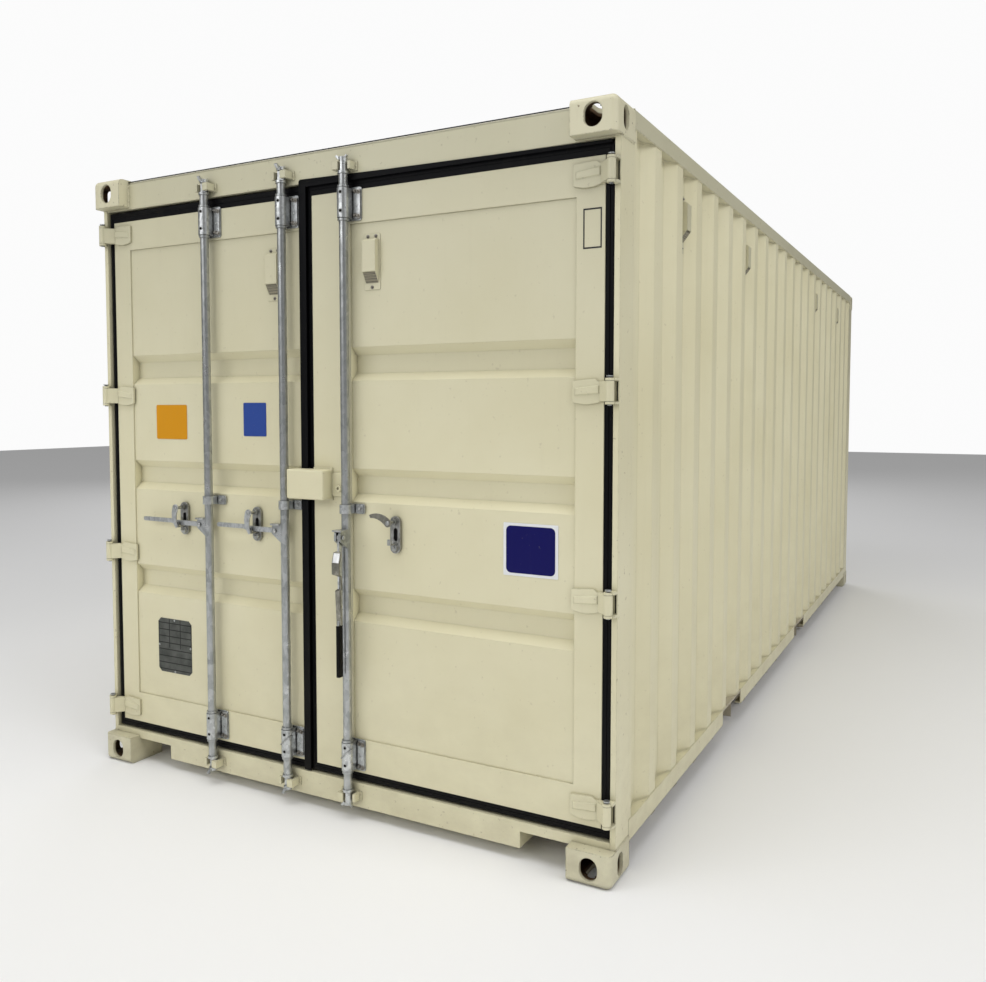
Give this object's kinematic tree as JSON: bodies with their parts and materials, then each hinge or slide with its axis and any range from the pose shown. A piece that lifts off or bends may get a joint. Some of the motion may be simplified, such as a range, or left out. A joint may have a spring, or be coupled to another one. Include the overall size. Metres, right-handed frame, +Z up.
{
  "type": "shipping container",
  "caption": "Closed steel freight container with corrugated walls, double end doors, lock bars with cams and handles, corner castings and fork pockets.",
  "frame": {"origin": "on the ground, in the middle of the four bottom corner castings", "axes": "+Z up, Y along the length with the doors facing -Y, X across the width with +X on the right seen from the door end"},
  "size_m": [2.438, 6.092, 2.591],
  "materials": {
    "painted_steel": "satin",
    "underframe_steel": "satin",
    "galvanised": "satin",
    "seal": "matte",
    "plywood": "matte",
    "black_grip": "matte"
  },
  "bodies": {
    "container": {"corner_castings_top": "painted_steel", "corner_castings_bottom": "painted_steel", "rear_corner_posts": "painted_steel", "front_corner_posts": "painted_steel", "door_header": "painted_steel", "door_sill": "painted_steel", "front_top_rail": "painted_steel", "front_bottom_rail": "painted_steel", "top_side_rails": "painted_steel", "bottom_side_rails": "painted_steel", "left_side_wall": "painted_steel", "right_side_wall": "painted_steel", "front_wall": "painted_steel", "roof_panel": "painted_steel", "floor_boards": "plywood", "cross_members": "underframe_steel", "fork_pockets": "underframe_steel", "hinge_lugs": "painted_steel", "hinge_pins": "galvanised", "cam_keepers": "painted_steel", "side_vents": "painted_steel"},
    "left_door": {"left_door_frame": "painted_steel", "left_door_panel": "painted_steel", "left_door_gasket": "seal", "left_hinge_blades": "painted_steel", "left_bar_brackets": "galvanised", "left_handle_retainers": "galvanised", "left_door_vent": "painted_steel"},
    "right_door": {"right_door_frame": "painted_steel", "right_door_panel": "painted_steel", "right_door_gasket": "seal", "right_hinge_blades": "painted_steel", "right_bar_brackets": "galvanised", "right_handle_retainer": "galvanised", "right_door_vent": "painted_steel", "lock_box": "painted_steel"},
    "left_outer_bar": {"left_outer_bar": "galvanised", "left_outer_cams": "galvanised"},
    "left_outer_handle": {"left_outer_handle": "galvanised"},
    "left_outer_catch": {"left_outer_catch": "galvanised"},
    "left_inner_bar": {"left_inner_bar": "galvanised", "left_inner_cams": "galvanised"},
    "left_inner_handle": {"left_inner_handle": "galvanised"},
    "left_inner_catch": {"left_inner_catch": "galvanised"},
    "right_bar": {"right_bar": "galvanised", "right_cams": "galvanised"},
    "right_handle": {"right_handle": "galvanised", "right_handle_grip": "black_grip"},
    "right_catch": {"right_catch": "galvanised"}
  },
  "joints": [
    {"name": "left_door_hinge", "type": "hinge", "parent": "container", "child": "left_door", "pos_m": [-1.193, -3.005, 1.3], "axis": [0, 0, -1], "range_deg": [0, 250]},
    {"name": "right_door_hinge", "type": "hinge", "parent": "container", "child": "right_door", "pos_m": [1.193, -3.005, 1.3], "axis": [0, 0, 1], "range_deg": [0, 250]},
    {"name": "left_outer_bar_turn", "type": "hinge", "parent": "left_door", "child": "left_outer_bar", "pos_m": [-0.58, -3.004, 1.108], "axis": [0, 0, 1], "range_deg": [0, 110]},
    {"name": "left_outer_handle_drop", "type": "hinge", "parent": "left_outer_bar", "child": "left_outer_handle", "pos_m": [-0.62, -3.004, 1.108], "axis": [0, -1, 0], "range_deg": [-15, 90]},
    {"name": "left_outer_catch_turn", "type": "hinge", "parent": "left_door", "child": "left_outer_catch", "pos_m": [-0.752, -3.023, 1.172], "axis": [0, -1, 0], "range_deg": [-110, 0]},
    {"name": "left_inner_bar_turn", "type": "hinge", "parent": "left_door", "child": "left_inner_bar", "pos_m": [-0.17, -3.004, 1.108], "axis": [0, 0, 1], "range_deg": [0, 110]},
    {"name": "left_inner_handle_drop", "type": "hinge", "parent": "left_inner_bar", "child": "left_inner_handle", "pos_m": [-0.21, -3.004, 1.108], "axis": [0, -1, 0], "range_deg": [-15, 90]},
    {"name": "left_inner_catch_turn", "type": "hinge", "parent": "left_door", "child": "left_inner_catch", "pos_m": [-0.342, -3.023, 1.172], "axis": [0, -1, 0], "range_deg": [-110, 0]},
    {"name": "right_bar_turn", "type": "hinge", "parent": "right_door", "child": "right_bar", "pos_m": [0.131, -3.004, 1.108], "axis": [0, 0, -1], "range_deg": [-90, 20]},
    {"name": "right_handle_drop", "type": "hinge", "parent": "right_bar", "child": "right_handle", "pos_m": [0.131, -3.044, 1.108], "axis": [1, 0, 0], "range_deg": [-105, 0]},
    {"name": "right_catch_turn", "type": "hinge", "parent": "right_door", "child": "right_catch", "pos_m": [0.338, -3.023, 1.172], "axis": [0, -1, 0], "range_deg": [0, 110]}
  ]
}
